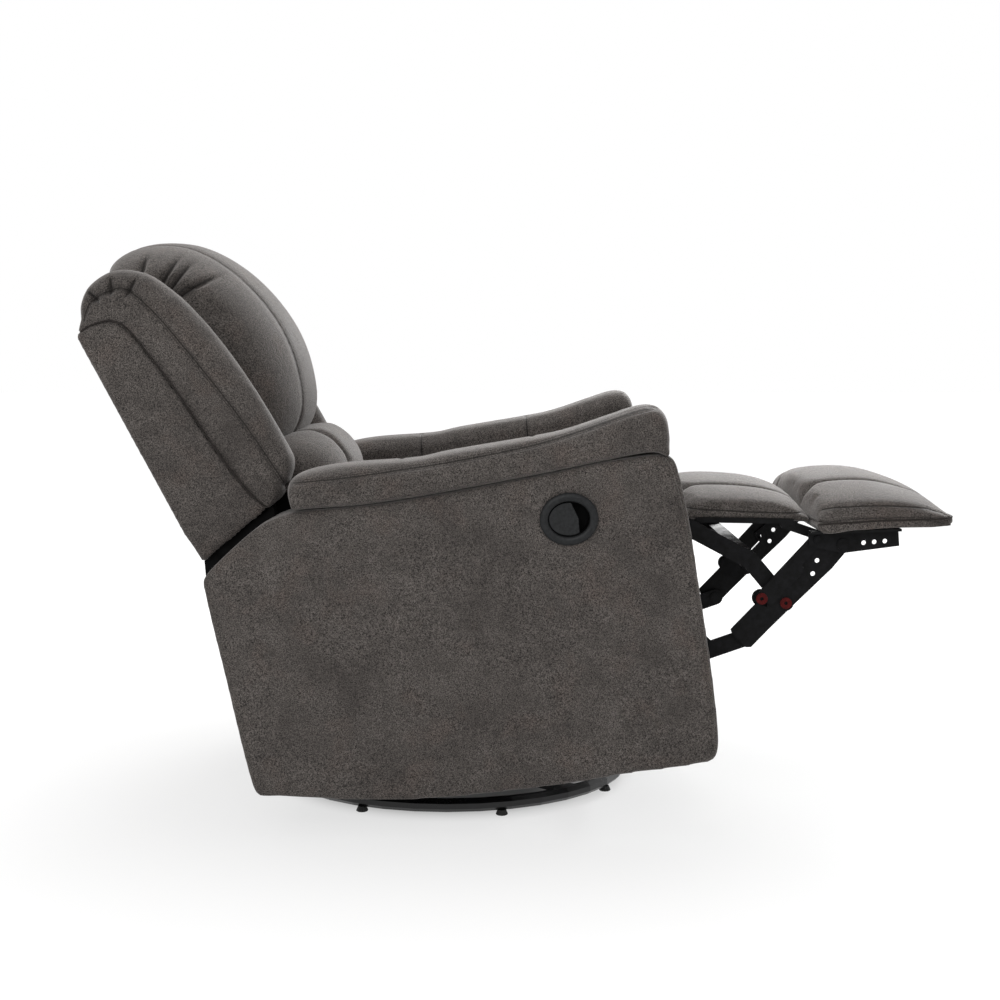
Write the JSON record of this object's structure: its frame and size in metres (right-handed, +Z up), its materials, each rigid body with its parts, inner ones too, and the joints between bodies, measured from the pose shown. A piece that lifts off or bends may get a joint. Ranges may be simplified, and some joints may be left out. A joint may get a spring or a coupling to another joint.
{
  "type": "recliner",
  "caption": "Upholstered swivel glider recliner with a folding footrest, a back that leans, a hidden release paddle and a round steel floor ring.",
  "frame": {"origin": "on the floor, under the middle of the bounding box of the whole chair as pictured", "axes": "+X towards the footrest, +Y to the left of a person sitting in it, +Z up"},
  "size_m": [1.3684, 0.826, 0.9078],
  "materials": {
    "cover": "mottled faux suede",
    "black_steel": "black powder coat",
    "handle_plastic": "fine matte",
    "glide": "matte",
    "wood": "raw plywood",
    "red_washer": "satin"
  },
  "bodies": {
    "base": {"base_ring": "black_steel", "swivel_race": "black_steel", "swivel_bolt": "black_steel", "floor_glide_1": "glide", "floor_glide_2": "glide", "floor_glide_3": "glide", "floor_glide_4": "glide", "floor_glide_5": "glide", "floor_glide_6": "glide", "floor_glide_7": "glide", "floor_glide_8": "glide"},
    "turntable": {"swivel_plate": "black_steel", "glider_base": "black_steel"},
    "rear_links": {"swing_link_rear_right": "cover", "swing_link_rear_left": "cover"},
    "front_links": {"swing_link_front_right": "cover", "swing_link_front_left": "cover"},
    "chair_body": {"carriage_plate_right": "black_steel", "carriage_plate_left": "black_steel", "carriage_tube_front": "black_steel", "carriage_tube_rear": "black_steel", "arm_panel_right": "cover", "arm_panel_left": "cover", "arm_pad_right": "cover", "arm_pad_left": "cover", "handle_bezel": "handle_plastic", "front_rail": "wood", "rear_panel": "cover", "base_rail_right": "black_steel", "base_rail_left": "black_steel"},
    "seat": {"side_plate_right": "black_steel", "side_plate_left": "black_steel", "seat_frame": "wood", "seat_cushion": "cover"},
    "back": {"back_shell": "cover", "back_frame": "wood", "back_wing_right": "cover", "back_wing_left": "cover", "head_pillow": "cover", "lumbar_pillow": "cover"},
    "cross_links": {"cross_link_right": "black_steel", "cross_link_left": "black_steel", "cross_tube": "black_steel"},
    "drive_links": {"drive_link_right": "black_steel", "drive_link_left": "black_steel"},
    "main_links": {"main_link_right": "black_steel", "main_link_left": "black_steel", "washer_cross_right": "red_washer", "washer_cross_left": "red_washer", "middle_pad": "cover", "middle_pad_bracket": "black_steel"},
    "second_links": {"second_link_right": "black_steel", "second_link_left": "black_steel", "washer_second_right": "red_washer", "washer_second_left": "red_washer"},
    "footrest": {"footrest_pad": "cover", "footrest_board": "cover", "footrest_bracket_right": "black_steel", "footrest_bracket_left": "black_steel"},
    "paddle": {"handle_paddle": "handle_plastic"}
  },
  "joints": [
    {"name": "swivel", "type": "hinge", "parent": "base", "child": "turntable", "pos_m": [-0.12723, 0, 0.03], "axis": [0, 0, 1], "continuous": true},
    {"name": "rear_link_swing", "type": "hinge", "parent": "turntable", "child": "rear_links", "pos_m": [-0.27723, 0, 0.235], "axis": [0, -1, 0], "range_deg": [0, 17.5]},
    {"name": "front_link_swing", "type": "hinge", "parent": "turntable", "child": "front_links", "pos_m": [0.02277, 0, 0.235], "axis": [0, -1, 0], "range_deg": [0, 18]},
    {"name": "glide", "type": "hinge", "parent": "rear_links", "child": "chair_body", "pos_m": [-0.24878, 0, 0.13393], "axis": [0, 1, 0], "range_deg": [0, 25]},
    {"name": "seat_slide", "type": "slide", "parent": "chair_body", "child": "seat", "axis": [0.9969, 0, 0.0785], "range_m": [-0.0553, 0]},
    {"name": "recline", "type": "hinge", "parent": "seat", "child": "back", "pos_m": [-0.3496, 0, 0.4038], "axis": [0, 1, 0], "range_deg": [0, 22]},
    {"name": "footrest_fold", "type": "hinge", "parent": "seat", "child": "cross_links", "pos_m": [0.22481, 0, 0.43396], "axis": [0, 1, 0], "range_deg": [0, 79]},
    {"name": "drive_link_turn", "type": "hinge", "parent": "seat", "child": "drive_links", "pos_m": [0.16608, 0, 0.37718], "axis": [0, 1, 0], "range_deg": [0, 79]},
    {"name": "main_link_turn", "type": "hinge", "parent": "cross_links", "child": "main_links", "pos_m": [0.4175, 0, 0.33076], "axis": [0, 1, 0], "range_deg": [-79, 0]},
    {"name": "second_link_turn", "type": "hinge", "parent": "cross_links", "child": "second_links", "pos_m": [0.37776, 0, 0.33866], "axis": [0, 1, 0], "range_deg": [-79, 0]},
    {"name": "footrest_turn", "type": "hinge", "parent": "main_links", "child": "footrest", "pos_m": [0.50522, 0, 0.42694], "axis": [0, 1, 0], "range_deg": [0, 79]},
    {"name": "paddle_turn", "type": "hinge", "parent": "chair_body", "child": "paddle", "pos_m": [0.03171, -0.4069, 0.48496], "axis": [0.0785, 0, -0.9969], "range_deg": [0, 25], "stiffness_Nm_per_rad": 0.35, "springref_deg": -5.73}
  ],
  "couplings": [
    {"joint": "rear_link_swing", "follows": "glide", "ratio": 0.693},
    {"joint": "front_link_swing", "follows": "glide", "ratio": 0.71726},
    {"joint": "seat_slide", "follows": "recline", "m_per_rad": -0.14324},
    {"joint": "drive_link_turn", "follows": "footrest_fold", "ratio": 1},
    {"joint": "main_link_turn", "follows": "footrest_fold", "ratio": -1},
    {"joint": "second_link_turn", "follows": "footrest_fold", "ratio": -1},
    {"joint": "footrest_turn", "follows": "footrest_fold", "ratio": 1}
  ]
}
